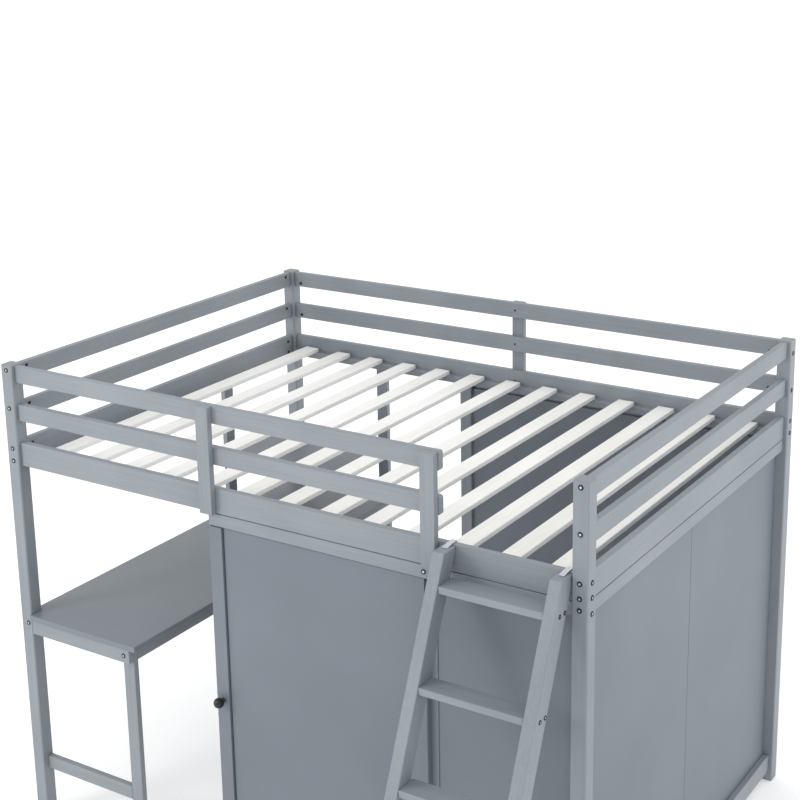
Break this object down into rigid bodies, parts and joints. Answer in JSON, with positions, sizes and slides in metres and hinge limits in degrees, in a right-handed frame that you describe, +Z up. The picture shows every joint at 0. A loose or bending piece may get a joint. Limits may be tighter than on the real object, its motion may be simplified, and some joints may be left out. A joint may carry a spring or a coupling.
{
  "type": "loft bed with desk",
  "caption": "Raised slatted bed on square posts with guard rails, a leaning ladder, a desk and shelf under one end and a wardrobe with a hinged door under the other.",
  "frame": {"origin": "on the floor, under the middle of the whole bed with its ladder", "axes": "+Z up, +X along the bed towards the wardrobe end, -Y towards the front where the ladder stands"},
  "size_m": [2, 2.0578, 1.55],
  "materials": {
    "painted_pine": "satin grey paint on solid pine",
    "painted_panel": "satin grey paint on fibreboard panel",
    "painted_worktop": "satin grey paint on board",
    "whitewashed_slats": "pale whitewashed softwood",
    "painted_hinge": "steel hinge under the same grey satin paint",
    "steel_hardware": "zinc-plated steel",
    "black_hardware": "black satin metal"
  },
  "bodies": {
    "frame": {"post_front_left": "painted_pine", "post_front_right": "painted_pine", "post_rear_left": "painted_pine", "post_rear_right": "painted_pine", "left_guard_rail_top": "painted_pine", "left_guard_rail_middle": "painted_pine", "left_deck_rail": "painted_pine", "right_guard_rail_top": "painted_pine", "right_guard_rail_middle": "painted_pine", "right_deck_rail": "painted_pine", "rear_guard_rail_top": "painted_pine", "rear_guard_rail_middle": "painted_pine", "rear_deck_rail": "painted_pine", "front_guard_rail_top": "painted_pine", "front_guard_rail_middle": "painted_pine", "front_deck_rail": "painted_pine", "guard_board_left": "painted_pine", "guard_board_right": "painted_pine", "rear_middle_leg": "painted_pine", "slat_01": "whitewashed_slats", "slat_02": "whitewashed_slats", "slat_03": "whitewashed_slats", "slat_04": "whitewashed_slats", "slat_05": "whitewashed_slats", "slat_06": "whitewashed_slats", "slat_07": "whitewashed_slats", "slat_08": "whitewashed_slats", "slat_09": "whitewashed_slats", "slat_10": "whitewashed_slats", "slat_11": "whitewashed_slats", "slat_12": "whitewashed_slats", "slat_13": "whitewashed_slats", "desk_top": "painted_worktop", "desk_front_apron": "painted_pine", "desk_right_apron": "painted_pine", "desk_left_rail": "painted_pine", "desk_front_leg": "painted_pine", "desk_stretcher": "painted_pine", "desk_rear_leg": "painted_pine", "shelf_side_board": "painted_pine", "desk_shelf": "painted_worktop", "closet_front_top_rail": "painted_pine", "closet_side_top_rail": "painted_pine", "closet_side_bottom_rail": "painted_pine", "closet_rear_frame": "painted_pine", "closet_front_post": "painted_pine", "closet_front_panel": "painted_panel", "closet_side_panel_front": "painted_panel", "closet_side_panel_rear": "painted_panel", "closet_rear_panel": "painted_panel", "door_hinge": "painted_hinge"},
    "door": {"door_leaf": "painted_panel", "door_knob": "black_hardware"},
    "ladder": {"ladder_stile_left": "painted_pine", "ladder_stile_right": "painted_pine", "ladder_step_1": "painted_pine", "ladder_step_2": "painted_pine", "ladder_step_3": "painted_pine", "ladder_step_4": "painted_pine", "ladder_step_5": "painted_pine"}
  },
  "joints": [
    {"name": "door_hinge", "type": "hinge", "parent": "frame", "child": "door", "pos_m": [0.516, -0.42136, 0.6], "axis": [0, 0, 1], "range_deg": [0, 90]},
    {"name": "ladder_lift", "type": "slide", "parent": "frame", "child": "ladder", "axis": [0, 0, 1], "range_m": [0, 0.12]}
  ]
}
